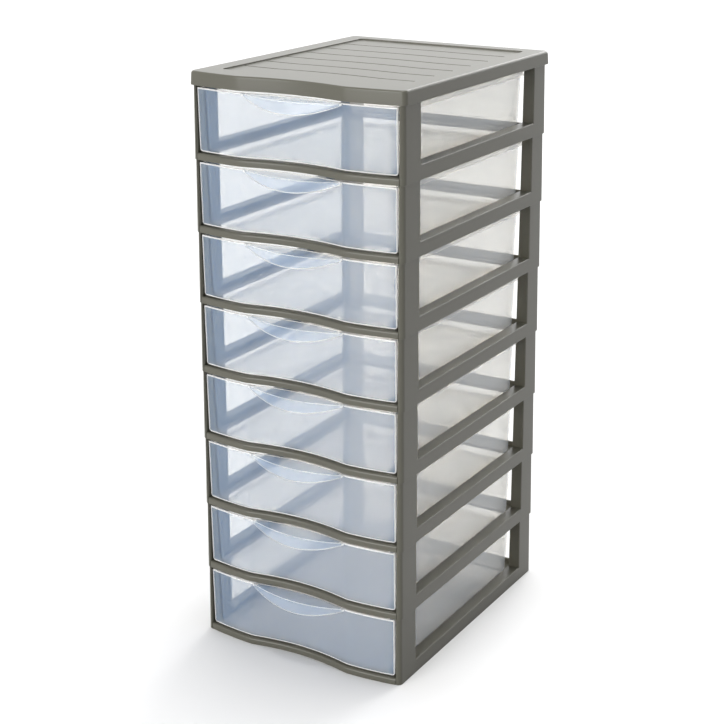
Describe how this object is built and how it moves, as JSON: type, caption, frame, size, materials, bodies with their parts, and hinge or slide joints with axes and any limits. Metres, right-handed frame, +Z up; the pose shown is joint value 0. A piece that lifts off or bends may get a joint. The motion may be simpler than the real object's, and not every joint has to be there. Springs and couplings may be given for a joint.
{
  "type": "plastic drawer tower",
  "caption": "Free-standing plastic tower of stacked open frames under a ribbed lid, each with a clear sliding drawer that has a moulded finger grip on its curved front.",
  "frame": {"origin": "on the floor, under the middle of the box round the whole tower with its drawers closed", "axes": "+Z up through the lid, -Y out of the drawer fronts, +X to the right seen from the front"},
  "size_m": [0.2532, 0.3362, 0.6304],
  "materials": {
    "frame_plastic": "warm dark grey moulded polypropylene, fine satin grain",
    "drawer_plastic": "clear moulded polypropylene with a slight blue cast, smooth"
  },
  "bodies": {
    "tower": {"tier_1": "frame_plastic", "tier_2": "frame_plastic", "tier_3": "frame_plastic", "tier_4": "frame_plastic", "tier_5": "frame_plastic", "tier_6": "frame_plastic", "tier_7": "frame_plastic", "tier_8": "frame_plastic", "lid": "frame_plastic"},
    "drawer_1": {"drawer_1": "drawer_plastic"},
    "drawer_2": {"drawer_2": "drawer_plastic"},
    "drawer_3": {"drawer_3": "drawer_plastic"},
    "drawer_4": {"drawer_4": "drawer_plastic"},
    "drawer_5": {"drawer_5": "drawer_plastic"},
    "drawer_6": {"drawer_6": "drawer_plastic"},
    "drawer_7": {"drawer_7": "drawer_plastic"},
    "drawer_8": {"drawer_8": "drawer_plastic"}
  },
  "joints": [
    {"name": "drawer_1_slide", "type": "slide", "parent": "tower", "child": "drawer_1", "axis": [0, -1, 0], "range_m": [0, 0.22]},
    {"name": "drawer_2_slide", "type": "slide", "parent": "tower", "child": "drawer_2", "axis": [0, -1, 0], "range_m": [0, 0.22]},
    {"name": "drawer_3_slide", "type": "slide", "parent": "tower", "child": "drawer_3", "axis": [0, -1, 0], "range_m": [0, 0.22]},
    {"name": "drawer_4_slide", "type": "slide", "parent": "tower", "child": "drawer_4", "axis": [0, -1, 0], "range_m": [0, 0.22]},
    {"name": "drawer_5_slide", "type": "slide", "parent": "tower", "child": "drawer_5", "axis": [0, -1, 0], "range_m": [0, 0.22]},
    {"name": "drawer_6_slide", "type": "slide", "parent": "tower", "child": "drawer_6", "axis": [0, -1, 0], "range_m": [0, 0.22]},
    {"name": "drawer_7_slide", "type": "slide", "parent": "tower", "child": "drawer_7", "axis": [0, -1, 0], "range_m": [0, 0.22]},
    {"name": "drawer_8_slide", "type": "slide", "parent": "tower", "child": "drawer_8", "axis": [0, -1, 0], "range_m": [0, 0.22]}
  ]
}
